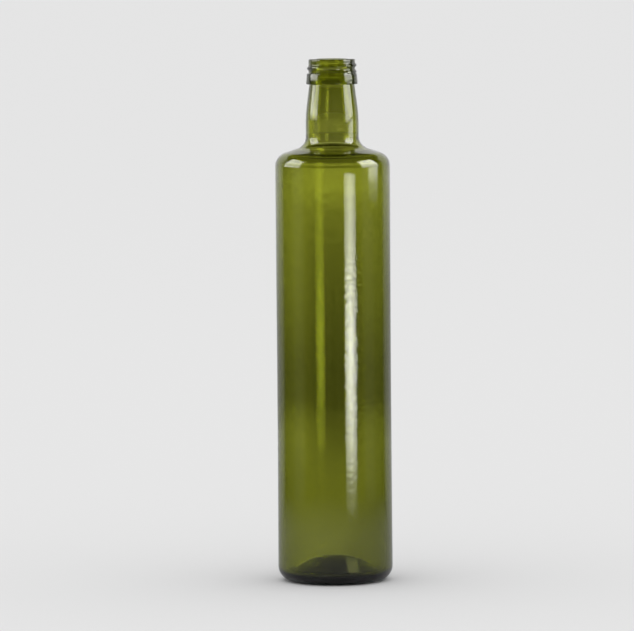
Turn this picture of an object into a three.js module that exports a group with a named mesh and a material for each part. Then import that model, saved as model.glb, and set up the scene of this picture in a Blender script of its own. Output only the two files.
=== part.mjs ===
// An empty bottle for olive oil, blown in green glass as one hollow piece. It has a straight round body on a
// punt, a short sloping shoulder, a tapered neck, and a screw finish with one thread above a tall bead.
import * as THREE from "three";

// Driving dimensions in millimetres. Heights are measured up from the table, on the bottle's axis.
const HEIGHT = 318.5;
const BODY_RADIUS = 35;
const BODY_WAIST = 0.25;
const BODY_WALL = 4.2;

const HEEL_RADIUS = 9;
const BEARING_WIDTH = 2;
const PUNT_HEIGHT = 4.5;
const FLOOR_HEIGHT = 5.6;
const FLOOR_CORNER = 3.5;
const DOME_TOP = 15;
const DOME_SLOPE = THREE.MathUtils.degToRad(40);

const SHOULDER_START = 253.35;
const SHOULDER_CORNER = 8.9;
const SHOULDER_SLOPE = THREE.MathUtils.degToRad(18);
const SHOULDER_WALL = 3.15;
const INNER_CORNER = 5.8;

const NECK_RADIUS = 16.15;
const NECK_FILLET = 7.5;
const NECK_WALL = 3.4;
const INNER_FILLET = 14;
const NECK_STRAIGHT_TOP = 279;
const NECK_BEND = 284.5;
const THROAT_RADIUS = 13.8;

const BEAD_BOTTOM = 303.1;
const BEAD_HEIGHT = 6.7;
const BEAD_RADIUS = 15.75;
const BEAD_TAPER = 0.45;
const BEAD_ROUND = 0.7;

const FINISH_RADIUS = 14.2;
const BORE_RADIUS = 9.5;
const LIP_ROUND = 0.9;

const THREAD_PITCH = 3.8;
const THREAD_LEVEL = 310.9;
const THREAD_START = THREE.MathUtils.degToRad(-75);
const THREAD_END = THREE.MathUtils.degToRad(410);
const THREAD_FADE = THREE.MathUtils.degToRad(35);
const THREAD_STANDOFF = 1;
const THREAD_HALF_WIDTH = 1.6;

const ROUND_SEGMENTS = 56;
const FACET_TURN = THREE.MathUtils.degToRad(22.5);
const CURVE_STEPS = 4;
const FINISH_ROWS = 16;
const SAME_POINT = 1e-6;

const RIGHT_ANGLE = Math.PI / 2;

// The sloping top of the shoulder runs straight between its outer corner and the fillet under the neck. This
// is its height at a radius, measured so deep under the outside of the glass.
function slopeHeightAt(radius, depth) {
  const cornerX = BODY_RADIUS - SHOULDER_CORNER + SHOULDER_CORNER * Math.sin(SHOULDER_SLOPE);
  const cornerY = SHOULDER_START + SHOULDER_CORNER * Math.cos(SHOULDER_SLOPE);
  return cornerY + (cornerX - radius) * Math.tan(SHOULDER_SLOPE) - depth / Math.cos(SHOULDER_SLOPE);
}

// Above its straight part the neck bends inwards and tapers evenly to the underside of the bead.
function neckBendEnd(neckRadius, throatRadius) {
  const bendTop = 2 * NECK_BEND - NECK_STRAIGHT_TOP;
  const along = (bendTop - NECK_BEND) / (BEAD_BOTTOM - NECK_BEND);
  return [THREE.MathUtils.lerp(neckRadius, throatRadius, along), bendTop];
}

// Outside of the glass, from the middle of the punt out to the bearing ring and up to the rim.
function drawOutside(path) {
  const bearingOuter = BODY_RADIUS - HEEL_RADIUS;
  const bearingInner = bearingOuter - BEARING_WIDTH;
  const beadTop = BEAD_BOTTOM + BEAD_HEIGHT;
  const beadTopRadius = BEAD_RADIUS - BEAD_TAPER;

  path.moveTo(0, PUNT_HEIGHT);
  path.quadraticCurveTo(bearingInner / 2, PUNT_HEIGHT, bearingInner, 0);
  path.lineTo(bearingOuter, 0);
  path.absarc(bearingOuter, HEEL_RADIUS, HEEL_RADIUS, -RIGHT_ANGLE, 0, false);

  const bodyMiddle = (HEEL_RADIUS + SHOULDER_START) / 2;
  path.quadraticCurveTo(BODY_RADIUS - 2 * BODY_WAIST, bodyMiddle, BODY_RADIUS, SHOULDER_START);
  const cornerCentre = BODY_RADIUS - SHOULDER_CORNER;
  path.absarc(cornerCentre, SHOULDER_START, SHOULDER_CORNER, 0, RIGHT_ANGLE - SHOULDER_SLOPE, false);
  const filletCentre = NECK_RADIUS + NECK_FILLET;
  const filletLevel = slopeHeightAt(filletCentre, -NECK_FILLET);
  path.absarc(filletCentre, filletLevel, NECK_FILLET, -RIGHT_ANGLE - SHOULDER_SLOPE, -Math.PI, true);

  const [bendRadius, bendTop] = neckBendEnd(NECK_RADIUS, THROAT_RADIUS);
  path.lineTo(NECK_RADIUS, NECK_STRAIGHT_TOP);
  path.quadraticCurveTo(NECK_RADIUS, NECK_BEND, bendRadius, bendTop);
  path.lineTo(THROAT_RADIUS, BEAD_BOTTOM);

  path.lineTo(BEAD_RADIUS - BEAD_ROUND, BEAD_BOTTOM);
  path.absarc(BEAD_RADIUS - BEAD_ROUND, BEAD_BOTTOM + BEAD_ROUND, BEAD_ROUND, -RIGHT_ANGLE, 0, false);
  path.absarc(beadTopRadius - BEAD_ROUND, beadTop - BEAD_ROUND, BEAD_ROUND, 0, RIGHT_ANGLE, false);
  for (let row = 0; row <= FINISH_ROWS; row += 1) {
    path.lineTo(FINISH_RADIUS, THREE.MathUtils.lerp(beadTop, HEIGHT - LIP_ROUND, row / FINISH_ROWS));
  }
  path.absarc(FINISH_RADIUS - LIP_ROUND, HEIGHT - LIP_ROUND, LIP_ROUND, 0, RIGHT_ANGLE, false);
}

// Inside of the glass, from the rim down the bore and the body wall to the middle of the floor.
function drawInside(path) {
  const neckInner = NECK_RADIUS - NECK_WALL;
  const bodyInner = BODY_RADIUS - BODY_WALL;

  path.absarc(BORE_RADIUS + LIP_ROUND, HEIGHT - LIP_ROUND, LIP_ROUND, RIGHT_ANGLE, Math.PI, false);
  const [bendRadius, bendTop] = neckBendEnd(neckInner, BORE_RADIUS);
  path.lineTo(BORE_RADIUS, BEAD_BOTTOM);
  path.lineTo(bendRadius, bendTop);
  path.quadraticCurveTo(neckInner, NECK_BEND, neckInner, NECK_STRAIGHT_TOP);

  const filletCentre = neckInner + INNER_FILLET;
  const filletLevel = slopeHeightAt(filletCentre, SHOULDER_WALL - INNER_FILLET);
  path.absarc(filletCentre, filletLevel, INNER_FILLET, -Math.PI, -RIGHT_ANGLE - SHOULDER_SLOPE, false);
  const cornerCentre = bodyInner - INNER_CORNER;
  const cornerLevel = slopeHeightAt(cornerCentre, SHOULDER_WALL + INNER_CORNER);
  path.absarc(cornerCentre, cornerLevel, INNER_CORNER, RIGHT_ANGLE - SHOULDER_SLOPE, 0, true);

  const footCentre = bodyInner - FLOOR_CORNER;
  const footLevel = FLOOR_HEIGHT + FLOOR_CORNER;
  path.absarc(footCentre, footLevel, FLOOR_CORNER, 0, -RIGHT_ANGLE - DOME_SLOPE, true);
  const domeRise = DOME_TOP - footLevel + FLOOR_CORNER * Math.cos(DOME_SLOPE);
  const domeFoot = footCentre - FLOOR_CORNER * Math.sin(DOME_SLOPE);
  path.quadraticCurveTo(domeFoot - domeRise / Math.tan(DOME_SLOPE), DOME_TOP, 0, DOME_TOP);
}

// A straight stretch needs only its ends, and a curve gets more points the further it turns.
function stepsFor(curve) {
  if (curve.isLineCurve) {
    return 1;
  }
  const turn = curve.getTangent(0).angleTo(curve.getTangent(1));
  return Math.max(CURVE_STEPS, Math.ceil(turn / FACET_TURN));
}

// Neighbouring curves share their end points, so each point is kept once.
function profilePoints(path) {
  const points = path.curves.flatMap((curve) => curve.getPoints(stepsFor(curve)));
  return points.filter((point, i) => i === 0 || point.distanceTo(points[i - 1]) > SAME_POINT);
}

// Height of the thread above the wall at a point of the finish. The ridge climbs to the right as it goes
// around, has a rounded section, and fades into the wall at both ends.
function threadHeight(angle, level) {
  let height = 0;
  for (let turn = angle - 2 * Math.PI; turn < THREAD_END; turn += 2 * Math.PI) {
    const crest = THREAD_LEVEL + (THREAD_PITCH * turn) / (2 * Math.PI);
    const across = Math.min(1, Math.abs(level - crest) / THREAD_HALF_WIDTH);
    const fromEnd = Math.min(turn - THREAD_START, THREAD_END - turn);
    const fade = THREE.MathUtils.smoothstep(fromEnd, 0, THREAD_FADE);
    height = Math.max(height, THREAD_STANDOFF * fade * Math.cos(across * RIGHT_ANGLE) ** 2);
  }
  return height;
}

// The thread is raised on the outside of the plain wall between the bead and the lip.
function raiseThread(geometry) {
  const position = geometry.attributes.position;
  const middleOfWall = (BORE_RADIUS + FINISH_RADIUS) / 2;
  const point = new THREE.Vector3();
  for (let i = 0; i < position.count; i += 1) {
    point.fromBufferAttribute(position, i);
    const radius = Math.hypot(point.x, point.y);
    const betweenBeadAndLip = point.z > BEAD_BOTTOM + BEAD_HEIGHT && point.z < HEIGHT - LIP_ROUND;
    if (betweenBeadAndLip && radius > middleOfWall) {
      const stretch = 1 + threadHeight(Math.atan2(point.y, point.x), point.z) / radius;
      position.setXYZ(i, point.x * stretch, point.y * stretch, point.z);
    }
  }
}

const outline = new THREE.Path();
drawOutside(outline);
drawInside(outline);
const blownGlass = new THREE.LatheGeometry(profilePoints(outline), ROUND_SEGMENTS);
blownGlass.rotateX(RIGHT_ANGLE);
raiseThread(blownGlass);
blownGlass.computeVertexNormals();

const greenGlass = new THREE.MeshStandardMaterial({ color: 0x6a7018, roughness: 0.06, metalness: 0 });
greenGlass.transparent = true;
greenGlass.opacity = 0.75;

const bottle = new THREE.Mesh(blownGlass, greenGlass);
bottle.name = "bottle";

const group = new THREE.Group();
group.add(bottle);
export default group;
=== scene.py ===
"""An empty green glass bottle for olive oil, standing on a pale table in soft studio light.

Sizes are in metres, in the CAD model's frame.
"""
import math

import bpy
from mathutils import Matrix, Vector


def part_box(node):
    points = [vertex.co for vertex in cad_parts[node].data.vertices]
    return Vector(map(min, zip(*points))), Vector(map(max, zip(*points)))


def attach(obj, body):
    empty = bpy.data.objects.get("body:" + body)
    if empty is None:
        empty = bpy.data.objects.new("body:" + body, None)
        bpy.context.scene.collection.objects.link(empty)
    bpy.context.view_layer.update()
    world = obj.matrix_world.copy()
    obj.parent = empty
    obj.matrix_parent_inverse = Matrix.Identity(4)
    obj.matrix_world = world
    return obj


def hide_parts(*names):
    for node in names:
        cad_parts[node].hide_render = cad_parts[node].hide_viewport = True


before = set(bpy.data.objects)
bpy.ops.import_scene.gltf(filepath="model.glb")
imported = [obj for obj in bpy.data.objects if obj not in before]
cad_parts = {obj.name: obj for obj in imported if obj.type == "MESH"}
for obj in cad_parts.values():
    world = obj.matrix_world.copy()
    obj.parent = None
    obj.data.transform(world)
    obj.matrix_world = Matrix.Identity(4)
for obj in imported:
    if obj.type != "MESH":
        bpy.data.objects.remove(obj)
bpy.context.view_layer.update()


# Glass bottle. One piece of olive-green glass, blown in a mould: round body on a punt, sloping shoulder,
# tapered neck, bead and screw finish, with thick walls around the space for the oil. Half its section is
# drawn out from one vertex and spun around the axis, and the thread is raised on the wall of the finish.
MM = 0.001

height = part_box("bottle")[1].z
body_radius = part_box("bottle")[1].x
body_waist = 0.25 * MM
body_wall = 4.2 * MM

heel_radius = 9 * MM
bearing_width = 2 * MM
bearing_outer = body_radius - heel_radius
bearing_inner = bearing_outer - bearing_width
punt_height = 4.5 * MM
floor_height = 5.6 * MM
dome_top = 15 * MM
dome_slope = 40
floor_corner = 3.5 * MM

shoulder_start = 253.35 * MM
shoulder_corner = 8.9 * MM
shoulder_slope = 18
shoulder_wall = 3.15 * MM
inner_corner = 5.8 * MM
inner_fillet = 14 * MM

neck_radius = 16.15 * MM
neck_fillet = 7.5 * MM
neck_wall = 3.4 * MM
neck_straight_top = 279 * MM
neck_bend = 284.5 * MM
neck_bend_top = 2 * neck_bend - neck_straight_top
throat_radius = 13.8 * MM

bead_bottom = 303.1 * MM
bead_top = 309.8 * MM
bead_radius = 15.75 * MM
bead_top_radius = 15.3 * MM
bead_round = 0.7 * MM

finish_radius = 14.2 * MM
bore_radius = 9.5 * MM
lip_round = 0.9 * MM

thread_pitch = 3.8 * MM
thread_level = 310.9 * MM
thread_start = math.radians(-75)
thread_end = math.radians(410)
thread_fade = math.radians(35)
thread_standoff = 1 * MM
thread_half_width = 1.6 * MM

# How finely each stretch of the outline is stepped, and how finely it is spun.
punt_steps = 14
bearing_steps = 2
heel_steps = 14
wall_steps = 24
corner_steps = 12
slope_steps = 5
fillet_steps = 24
neck_steps = 8
bend_steps = 12
taper_steps = 4
edge_steps = 6
finish_rows = 40
bore_steps = 3
foot_steps = 10
dome_steps = 16
spin_steps = 176

same_point = 0.0001 * MM
weld_distance = 0.001 * MM
sharp_edge = math.radians(40)


def round_point(centre, radius, angle):
    """The point of a circle at an angle in degrees."""
    turn = math.radians(angle)
    return (centre[0] + radius * math.cos(turn), centre[1] + radius * math.sin(turn))


def arc(centre, radius, start, end, steps):
    """A round stretch of the outline, from one angle in degrees to another."""
    return [round_point(centre, radius, start + (end - start) * step / steps) for step in range(steps + 1)]


def between(start, end, part):
    """The point that lies a part of the way from one point to another."""
    return tuple(a + (b - a) * part for a, b in zip(start, end))


def curve(handles, steps):
    """A straight or bent stretch of the outline, a Bezier curve from its first handle to its last."""
    points = []
    for step in range(steps + 1):
        level = handles
        while len(level) > 1:
            level = [between(a, b, step / steps) for a, b in zip(level, level[1:])]
        points.append(level[0])
    return points


corner_centre = (body_radius - shoulder_corner, shoulder_start)
corner_end = round_point(corner_centre, shoulder_corner, 90 - shoulder_slope)


def under_slope(radius, depth):
    """The point so deep under the outside of the shoulder's straight slope, at a radius."""
    slope = math.radians(shoulder_slope)
    level = corner_end[1] + (corner_end[0] - radius) * math.tan(slope) - depth / math.cos(slope)
    return (radius, level)


# Outside of the glass, from the middle of the punt out to the bearing ring and up to the rim.
body_middle = (heel_radius + shoulder_start) / 2
waist_handle = (body_radius - 2 * body_waist, body_middle)
fillet_centre = under_slope(neck_radius + neck_fillet, -neck_fillet)
fillet_start = round_point(fillet_centre, neck_fillet, -90 - shoulder_slope)
taper_share = (neck_bend_top - neck_bend) / (bead_bottom - neck_bend)
taper_start = between((neck_radius, neck_bend), (throat_radius, bead_bottom), taper_share)
lip_level = height - lip_round

outside = (
    curve([(0, punt_height), (bearing_inner / 2, punt_height), (bearing_inner, 0)], punt_steps)
    + curve([(bearing_inner, 0), (bearing_outer, 0)], bearing_steps)
    + arc((bearing_outer, heel_radius), heel_radius, -90, 0, heel_steps)
    + curve([(body_radius, heel_radius), waist_handle, (body_radius, shoulder_start)], wall_steps)
    + arc(corner_centre, shoulder_corner, 0, 90 - shoulder_slope, corner_steps)
    + curve([corner_end, fillet_start], slope_steps)
    + arc(fillet_centre, neck_fillet, -90 - shoulder_slope, -180, fillet_steps)
    + curve([(neck_radius, fillet_centre[1]), (neck_radius, neck_straight_top)], neck_steps)
    + curve([(neck_radius, neck_straight_top), (neck_radius, neck_bend), taper_start], bend_steps)
    + curve([taper_start, (throat_radius, bead_bottom)], taper_steps)
    + arc((bead_radius - bead_round, bead_bottom + bead_round), bead_round, -90, 0, edge_steps)
    + arc((bead_top_radius - bead_round, bead_top - bead_round), bead_round, 0, 90, edge_steps)
    + curve([(finish_radius, bead_top), (finish_radius, lip_level)], finish_rows)
    + arc((finish_radius - lip_round, lip_level), lip_round, 0, 90, edge_steps)
)

# Inside of the glass, from the rim down the bore and the body wall to the middle of the floor.
body_inner = body_radius - body_wall
neck_inner = neck_radius - neck_wall
inner_taper_end = between((neck_inner, neck_bend), (bore_radius, bead_bottom), taper_share)
inner_fillet_centre = under_slope(neck_inner + inner_fillet, shoulder_wall - inner_fillet)
inner_fillet_end = round_point(inner_fillet_centre, inner_fillet, -90 - shoulder_slope)
inner_corner_centre = under_slope(body_inner - inner_corner, shoulder_wall + inner_corner)
inner_corner_start = round_point(inner_corner_centre, inner_corner, 90 - shoulder_slope)
foot_centre = (body_inner - floor_corner, floor_height + floor_corner)
dome_foot = round_point(foot_centre, floor_corner, -90 - dome_slope)
dome_run = (dome_top - dome_foot[1]) / math.tan(math.radians(dome_slope))
dome_handle = (dome_foot[0] - dome_run, dome_top)

inside = (
    arc((bore_radius + lip_round, lip_level), lip_round, 90, 180, edge_steps)
    + curve([(bore_radius, lip_level), (bore_radius, bead_bottom)], bore_steps)
    + curve([(bore_radius, bead_bottom), inner_taper_end], taper_steps)
    + curve([inner_taper_end, (neck_inner, neck_bend), (neck_inner, neck_straight_top)], bend_steps)
    + curve([(neck_inner, neck_straight_top), (neck_inner, inner_fillet_centre[1])], neck_steps)
    + arc(inner_fillet_centre, inner_fillet, -180, -90 - shoulder_slope, fillet_steps)
    + curve([inner_fillet_end, inner_corner_start], slope_steps)
    + arc(inner_corner_centre, inner_corner, 90 - shoulder_slope, 0, corner_steps)
    + curve([(body_inner, inner_corner_centre[1]), (body_inner, foot_centre[1])], wall_steps)
    + arc(foot_centre, floor_corner, 0, -90 - dome_slope, foot_steps)
    + curve([dome_foot, dome_handle, (0, dome_top)], dome_steps)
)

bpy.ops.object.select_all(action="DESELECT")
bpy.ops.mesh.primitive_plane_add(size=MM, location=(0, 0, 0))
bottle = bpy.context.object
bottle.name = "glass_bottle"
bpy.ops.object.mode_set(mode="EDIT")
bpy.ops.mesh.select_all(action="SELECT")
bpy.ops.mesh.merge(type="CENTER")
bpy.ops.transform.translate(value=(0, 0, punt_height))
here = (0, punt_height)
for there in outside + inside:
    move = (there[0] - here[0], 0, there[1] - here[1])
    if math.dist(here, there) > same_point:
        bpy.ops.mesh.extrude_region_move(TRANSFORM_OT_translate={"value": move})
        here = there
bpy.ops.mesh.select_all(action="SELECT")
bpy.ops.mesh.spin(steps=spin_steps, angle=2 * math.pi, center=(0, 0, 0), axis=(0, 0, 1))
bpy.ops.mesh.select_all(action="SELECT")
bpy.ops.mesh.remove_doubles(threshold=weld_distance)
bpy.ops.mesh.normals_make_consistent(inside=False)
bpy.ops.object.mode_set(mode="OBJECT")


def thread_share(angle, level):
    """How much of the thread's full height stands at a point of the finish.

    The ridge climbs to the right as it goes around, has a rounded section, and fades out at both ends.
    """
    share = 0
    for turn in (angle - 2 * math.pi, angle, angle + 2 * math.pi):
        crest = thread_level + thread_pitch * turn / (2 * math.pi)
        across = min(1, abs(level - crest) / thread_half_width)
        along = max(0, min(1, (turn - thread_start) / thread_fade, (thread_end - turn) / thread_fade))
        fade = along * along * (3 - 2 * along)
        share = max(share, fade * math.cos(across * math.pi / 2) ** 2)
    return share


middle_of_wall = (bore_radius + finish_radius) / 2
thread_group = bottle.vertex_groups.new(name="thread")
for vertex in bottle.data.vertices:
    point = vertex.co
    on_outside = math.hypot(point.x, point.y) > middle_of_wall
    if on_outside and bead_top < point.z < lip_level:
        thread_group.add([vertex.index], thread_share(math.atan2(point.y, point.x), point.z), "REPLACE")
thread_rise = bottle.modifiers.new("thread", "DISPLACE")
thread_rise.vertex_group = thread_group.name
thread_rise.strength = thread_standoff
thread_rise.mid_level = 0
bpy.ops.object.modifier_apply(modifier=thread_rise.name)
bpy.ops.object.shade_smooth_by_angle(angle=sharp_edge)


def link_ramp(nodes, links, source, low, high, stops):
    """A colour ramp over a range of a value. stops lists the value and the grey there, from low to high."""
    along = nodes.new("ShaderNodeMapRange")
    along.inputs["From Min"].default_value = low
    along.inputs["From Max"].default_value = high
    links.new(source, along.inputs["Value"])
    ramp = nodes.new("ShaderNodeValToRGB")
    places = [(at - low) / (high - low) for at, _ in stops]
    greys = [(grey, grey, grey, 1) for _, grey in stops]
    elements = ramp.color_ramp.elements
    elements[0].position = places[0]
    elements[0].color = greys[0]
    elements[1].position = places[-1]
    elements[1].color = greys[-1]
    for at, grey in zip(places[1:-1], greys[1:-1]):
        elements.new(at).color = grey
    links.new(along.outputs["Result"], ramp.inputs["Fac"])
    return ramp.outputs["Color"]


def link_mix(nodes, links, factor, first, second, blend="MIX"):
    """One colour in place of another by a factor, or blended with it. A plain grey may stand for a socket."""
    mix = nodes.new("ShaderNodeMix")
    mix.data_type = "RGBA"
    mix.blend_type = blend
    for name, value in (("Factor", factor), ("A", first), ("B", second)):
        socket = next(s for s in mix.inputs if s.name == name and s.enabled)
        if isinstance(value, bpy.types.NodeSocket):
            links.new(value, socket)
        elif name == "Factor":
            socket.default_value = value
        else:
            socket.default_value = (value, value, value, 1)
    return next(s for s in mix.outputs if s.enabled)


glass_ior = 1.52
green_tint = (0.66, 0.682, 0.05, 1)
tint_density = 500
wave_scale = 110
wave_detail = 1
wave_depth = 0.025 * MM
ripple_scale = 320
ripple_detail = 2
ripple_depth = 0.18 * MM

green_glass = bpy.data.materials.new("green_glass")
green_glass.use_nodes = True
nodes = green_glass.node_tree.nodes
links = green_glass.node_tree.links
glass = nodes["Principled BSDF"]
glass.inputs["Base Color"].default_value = (1, 1, 1, 1)
glass.inputs["Roughness"].default_value = 0
glass.inputs["IOR"].default_value = glass_ior
glass.inputs["Transmission Weight"].default_value = 1
tint = nodes.new("ShaderNodeVolumeAbsorption")
tint.inputs["Color"].default_value = green_tint
tint.inputs["Density"].default_value = tint_density
links.new(tint.outputs["Volume"], nodes["Material Output"].inputs["Volume"])

# The surface has slow waves all over, and finer ripples in a patch on the front, where the highlight lies.
place = nodes.new("ShaderNodeTexCoord")
axes = nodes.new("ShaderNodeSeparateXYZ")
links.new(place.outputs["Object"], axes.inputs["Vector"])
wave = nodes.new("ShaderNodeTexNoise")
wave.inputs["Scale"].default_value = wave_scale
wave.inputs["Detail"].default_value = wave_detail
links.new(place.outputs["Object"], wave.inputs["Vector"])
wave_bump = nodes.new("ShaderNodeBump")
wave_bump.inputs["Strength"].default_value = 1
wave_bump.inputs["Distance"].default_value = wave_depth
links.new(wave.outputs["Fac"], wave_bump.inputs["Height"])
ripple = nodes.new("ShaderNodeTexNoise")
ripple.inputs["Scale"].default_value = ripple_scale
ripple.inputs["Detail"].default_value = ripple_detail
links.new(place.outputs["Object"], ripple.inputs["Vector"])
ripple_bump = nodes.new("ShaderNodeBump")
ripple_bump.inputs["Distance"].default_value = ripple_depth
links.new(ripple.outputs["Fac"], ripple_bump.inputs["Height"])
links.new(wave_bump.outputs["Normal"], ripple_bump.inputs["Normal"])
links.new(ripple_bump.outputs["Normal"], glass.inputs["Normal"])
ripple_up = link_ramp(nodes, links, axes.outputs["Z"], 0, 0.3,
                      [(0, 0.2), (0.08, 0.5), (0.13, 1), (0.19, 1), (0.215, 0.2), (0.24, 0.05), (0.3, 0.05)])
ripple_across = link_ramp(nodes, links, axes.outputs["X"], -0.01, 0.03,
                          [(-0.01, 0), (0.0045, 0), (0.007, 1), (0.015, 1), (0.0175, 0), (0.03, 0)])
ripple_front = link_ramp(nodes, links, axes.outputs["Y"], -0.04, 0.04,
                         [(-0.04, 1), (-0.01, 1), (0.01, 0), (0.04, 0)])
ripple_patch = link_mix(nodes, links, 1, ripple_across, ripple_front, "MULTIPLY")
ripple_share = link_mix(nodes, links, 1, ripple_up, ripple_patch, "MULTIPLY")
links.new(ripple_share, ripple_bump.inputs["Strength"])

bottle.data.materials.append(green_glass)
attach(bottle, "root")
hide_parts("bottle")


# Floor. A wide, plain, matt table top, as pale as the backdrop. Seen through the glass, painted shade gives
# it a dim belt a metre or two off, and dims it again far off, straight behind and in front. Mirrored in the
# glass, its front is painted almost unlit, and a painted green gleam close by on the right stands for light
# that falls through the bottle.
floor_radius = 60
floor_corners = 64
pale = 0.8
near_limit = 2.2
far_limit = 6
least_mirrored = 0.55
gleam_tint = (1.6, 1.7, 0.5, 1)

bpy.ops.object.select_all(action="DESELECT")
bpy.ops.mesh.primitive_circle_add(vertices=floor_corners, radius=floor_radius, fill_type="NGON",
                                  location=(0, 0, 0))
floor = bpy.context.object
floor.name = "floor"

pale_top = bpy.data.materials.new("pale_top")
pale_top.use_nodes = True
nodes = pale_top.node_tree.nodes
links = pale_top.node_tree.links
nodes.remove(nodes["Principled BSDF"])
matt = nodes.new("ShaderNodeBsdfDiffuse")
links.new(matt.outputs["BSDF"], nodes["Material Output"].inputs["Surface"])
place = nodes.new("ShaderNodeTexCoord")
distance = nodes.new("ShaderNodeVectorMath")
distance.operation = "LENGTH"
links.new(place.outputs["Object"], distance.inputs[0])
away = distance.outputs["Value"]
heading = nodes.new("ShaderNodeVectorMath")
heading.operation = "NORMALIZE"
links.new(place.outputs["Object"], heading.inputs[0])
axes = nodes.new("ShaderNodeSeparateXYZ")
links.new(heading.outputs["Vector"], axes.inputs["Vector"])
ray = nodes.new("ShaderNodeLightPath")

# Through the glass the painted shade goes by the distance from the bottle, straight behind it and to its
# sides.
past_near = nodes.new("ShaderNodeMath")
past_near.operation = "GREATER_THAN"
past_near.inputs[1].default_value = near_limit
links.new(away, past_near.inputs[0])
middle_near = link_ramp(nodes, links, away, 0, near_limit,
                        [(0, 0.56), (0.57, 0.48), (0.86, 0.3), (1.1, 0.18), (1.48, 0.19), (near_limit, 0.25)])
middle_far = link_ramp(nodes, links, away, near_limit, far_limit,
                       [(near_limit, 0.25), (3.2, 0.36), (4.36, 0.6), (5, 1), (far_limit, 1)])
side_near = link_ramp(nodes, links, away, 0, near_limit,
                      [(0, 0.56), (0.57, 0.62), (0.85, 0.72), (1, 0.6), (1.16, 0.37), (1.48, 0.36),
                       (near_limit, 0.58)])
side_far = link_ramp(nodes, links, away, near_limit, far_limit,
                     [(near_limit, 0.58), (3.2, 0.75), (4.36, 0.9), (5, 1), (far_limit, 1)])
middle_tone = link_mix(nodes, links, past_near.outputs["Value"], middle_near, middle_far)
side_tone = link_mix(nodes, links, past_near.outputs["Value"], side_near, side_far)
beside = link_ramp(nodes, links, axes.outputs["X"], -1, 1,
                   [(-1, 1), (-0.1, 1), (-0.03, 0.1), (0.03, 0), (0.1, 0.7), (1, 0.9)])
tone = link_mix(nodes, links, beside, middle_tone, side_tone)
far_off = link_ramp(nodes, links, away, 5, 13,
                    [(5, 1), (5.6, 1), (6.4, 0.66), (6.9, 0.5), (7.4, 0.46), (9, 0.48), (12, 0.42),
                     (13, 0.38)])
close_by = link_ramp(nodes, links, away, 0, 1, [(0, 1), (0.3, 0.9), (0.55, 0), (1, 0)])
dim_right = link_ramp(nodes, links, axes.outputs["X"], -1, 1,
                      [(-1, 1), (0.03, 1), (0.08, 0.82), (0.14, 0.72), (1, 0.72)])
dim_near_right = link_mix(nodes, links, close_by, 1, dim_right)
straight_ahead = link_ramp(nodes, links, axes.outputs["X"], -1, 1,
                           [(-1, 0), (-0.5, 0), (-0.3, 1), (0.3, 1), (0.5, 0), (1, 0)])
dim_far_off = link_mix(nodes, links, straight_ahead, 1, far_off)
lit_behind = link_mix(nodes, links, 1, tone, dim_far_off, "MULTIPLY")
through_tone = link_mix(nodes, links, 1, lit_behind, dim_near_right, "MULTIPLY")

# Mirrored in the glass the painted shade goes by the direction too, and the painted gleam is added to it.
lit_round = link_ramp(nodes, links, axes.outputs["Y"], -1, 1,
                      [(-1, 0.05), (-0.55, 0.05), (-0.4, 0.35), (-0.1, 0.35), (0, 0.15), (0.42, 0.1),
                       (0.6, 0.9), (1, 0.9)])
seen_in_mirror = link_mix(nodes, links, 1, lit_round, close_by, "LIGHTEN")
even_tone = link_mix(nodes, links, 1, tone, least_mirrored, "LIGHTEN")
plain_mirror = link_mix(nodes, links, 1, even_tone, seen_in_mirror, "MULTIPLY")
# Painted light: a green gleam, brighter than white, painted into the table's colour close by in front on the
# right, for light that falls through the bottle.
gleam_side = link_ramp(nodes, links, axes.outputs["X"], 0, 1,
                       [(0, 0), (0.3, 0), (0.37, 1), (0.57, 1), (0.66, 0), (1, 0)])
gleam_near = link_ramp(nodes, links, away, 0, 0.3,
                       [(0, 0), (0.05, 0), (0.075, 1), (0.14, 1), (0.19, 0), (0.3, 0)])
gleam_front = link_ramp(nodes, links, axes.outputs["Y"], -1, 1, [(-1, 1), (-0.4, 1), (-0.2, 0), (1, 0)])
gleam_patch = link_mix(nodes, links, 1, gleam_side, gleam_near, "MULTIPLY")
gleam_share = link_mix(nodes, links, 1, gleam_patch, gleam_front, "MULTIPLY")
gleam_colour = nodes.new("ShaderNodeRGB")
gleam_colour.outputs["Color"].default_value = gleam_tint
gleam = link_mix(nodes, links, 1, gleam_share, gleam_colour.outputs["Color"], "MULTIPLY")
mirror_tone = link_mix(nodes, links, 1, plain_mirror, gleam, "ADD")

mirrored = link_mix(nodes, links, ray.outputs["Is Reflection Ray"], pale, mirror_tone)
top_colour = link_mix(nodes, links, ray.outputs["Is Transmission Ray"], mirrored, through_tone)
links.new(top_colour, matt.inputs["Color"])
floor.data.materials.append(pale_top)


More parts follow.
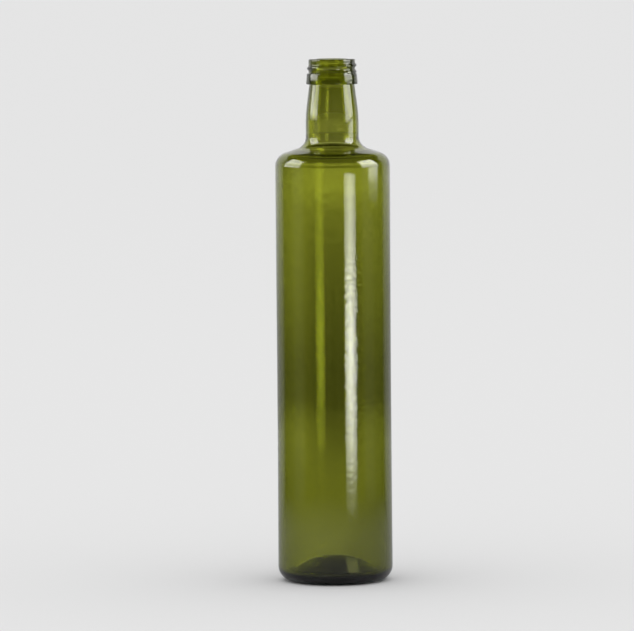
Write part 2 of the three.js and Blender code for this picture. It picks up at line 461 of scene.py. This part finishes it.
# Light cards. Flat standing sheets that glow by their height above the table: a low bright strip in front on
# the right, a tall soft box on each side, and a low glow on the right. They show only where the glass mirrors
# them, and don't light the table.
def light_card(name, azimuth, away, width, soft, edge, glow):
    """A card standing so far away, at an angle in degrees to the right of the front.

    soft is the share of its width that fades to edge at each side.
    glow lists heights above the table and the brightness there.
    """
    low = glow[0][0]
    high = glow[-1][0]
    turn = math.radians(azimuth)
    middle = (away * math.sin(turn), -away * math.cos(turn), (low + high) / 2)
    bpy.ops.object.select_all(action="DESELECT")
    bpy.ops.mesh.primitive_plane_add(size=1, location=middle, rotation=(math.pi / 2, 0, turn))
    card = bpy.context.object
    card.name = name
    card.scale = (width, high - low, 1)
    bpy.ops.object.transform_apply(location=True, rotation=True, scale=True)
    material = bpy.data.materials.new(name)
    material.use_nodes = True
    nodes = material.node_tree.nodes
    links = material.node_tree.links
    nodes.remove(nodes["Principled BSDF"])
    lamp = nodes.new("ShaderNodeEmission")
    clear = nodes.new("ShaderNodeBsdfTransparent")
    only_mirrored = nodes.new("ShaderNodeMixShader")
    ray = nodes.new("ShaderNodeLightPath")
    links.new(ray.outputs["Glossy Depth"], only_mirrored.inputs["Fac"])
    links.new(clear.outputs["BSDF"], only_mirrored.inputs[1])
    links.new(lamp.outputs["Emission"], only_mirrored.inputs[2])
    links.new(only_mirrored.outputs["Shader"], nodes["Material Output"].inputs["Surface"])
    place = nodes.new("ShaderNodeTexCoord")
    axes = nodes.new("ShaderNodeSeparateXYZ")
    links.new(place.outputs["Object"], axes.inputs["Vector"])
    peak = max(value for _, value in glow)
    shares = [(at, value / peak) for at, value in glow]
    by_height = link_ramp(nodes, links, axes.outputs["Z"], low, high, shares)
    across = nodes.new("ShaderNodeSeparateXYZ")
    links.new(place.outputs["UV"], across.inputs["Vector"])
    from_sides = link_ramp(nodes, links, across.outputs["X"], 0, 1,
                           [(0, edge), (soft, 1), (1 - soft, 1), (1, edge)])
    links.new(link_mix(nodes, links, 1, by_height, from_sides, "MULTIPLY"), lamp.inputs["Color"])
    lamp.inputs["Strength"].default_value = peak
    card.data.materials.append(material)
    card.visible_camera = False
    card.visible_diffuse = False
    card.visible_shadow = False


light_card("strip_light", azimuth=32.95, away=0.4, width=0.164, soft=0.45, edge=0.42,
           glow=[(0.002, 0.8), (0.02, 2.2), (0.028, 3.5), (0.041, 9), (0.055, 9.5), (0.082, 13.8),
                 (0.09, 15.3), (0.117, 15.5), (0.144, 13.9), (0.16, 11.4), (0.185, 9.2), (0.226, 7.2),
                 (0.2415, 7), (0.2445, 0)])
light_card("left_soft_box", azimuth=-91, away=1.2, width=1.1, soft=0.1, edge=0,
           glow=[(0.28, 0), (0.32, 3), (0.37, 6), (0.44, 6.5), (0.49, 4.2), (0.62, 4), (0.75, 7), (1.35, 7),
                 (1.45, 0)])
light_card("right_soft_box", azimuth=82, away=1.2, width=1.05, soft=0.1, edge=0,
           glow=[(0.25, 0), (0.31, 5.5), (0.6, 7), (0.8, 10), (1.35, 10), (1.45, 0)])
light_card("right_glow", azimuth=88, away=1.2, width=0.65, soft=0.15, edge=0,
           glow=[(0.155, 0), (0.187, 2.2), (0.21, 4.5), (0.27, 5.5), (0.32, 0)])


# Studio. Even soft light from all round lights the table, and the backdrop is as pale as the table in every
# view. Through the glass the room is dim straight behind and in front, and pale to the sides. Mirrored in the
# glass, only the low part of the backdrop behind the bottle is lit.
unlit = 0.03
lit = 0.9
dim = 0.3

studio = bpy.data.worlds.new("studio")
bpy.context.scene.world = studio
studio.use_nodes = True
nodes = studio.node_tree.nodes
links = studio.node_tree.links
place = nodes.new("ShaderNodeTexCoord")
axes = nodes.new("ShaderNodeSeparateXYZ")
links.new(place.outputs["Generated"], axes.inputs["Vector"])
ray = nodes.new("ShaderNodeLightPath")
behind = link_ramp(nodes, links, axes.outputs["Y"], -1, 1, [(-1, unlit), (0.42, unlit), (0.6, 1), (1, 1)])
low_down = link_ramp(nodes, links, axes.outputs["Z"], -1, 1,
                     [(-1, lit), (0.52, lit), (0.55, unlit), (1, unlit)])
lit_wall = link_mix(nodes, links, 1, behind, low_down, "MULTIPLY")
mirrored = link_mix(nodes, links, ray.outputs["Is Reflection Ray"], pale, lit_wall)
dim_ahead = link_ramp(nodes, links, axes.outputs["X"], -1, 1,
                      [(-1, pale), (-0.4, pale), (-0.2, dim), (0.2, dim), (0.4, pale), (1, pale)])
through = link_mix(nodes, links, ray.outputs["Is Transmission Ray"], mirrored, dim_ahead)
room = link_mix(nodes, links, ray.outputs["Is Diffuse Ray"], through, 1)
links.new(room, nodes["Background"].inputs["Color"])


# Camera. It stands three metres in front of the bottle and a little above it, with a long lens. It looks
# slightly down and is rolled a little. Light may pass many layers of glass before it reaches the lens.
camera_aside = -0.01015
camera_distance = 3
camera_height = 0.395
camera_tilt = math.radians(4.4375)
camera_roll = math.radians(-0.455)
sensor_width = 36
lens_length = 280.2
farthest_view = 200
glass_bounces = 32
mirror_bounces = 16

camera_data = bpy.data.cameras.new("camera")
camera_data.sensor_width = sensor_width
camera_data.lens = lens_length
camera_data.clip_end = farthest_view
camera = bpy.data.objects.new("camera", camera_data)
bpy.context.scene.collection.objects.link(camera)
camera.location = (camera_aside, -camera_distance, camera_height)
camera.rotation_mode = "ZYX"
camera.rotation_euler = (math.pi / 2 - camera_tilt, 0, camera_roll)
bpy.context.scene.camera = camera

bpy.context.scene.view_settings.view_transform = "Standard"
bpy.context.scene.cycles.max_bounces = glass_bounces
bpy.context.scene.cycles.transmission_bounces = glass_bounces
bpy.context.scene.cycles.glossy_bounces = mirror_bounces
bpy.context.scene.cycles.caustics_refractive = False
bpy.context.scene.cycles.caustics_reflective = False
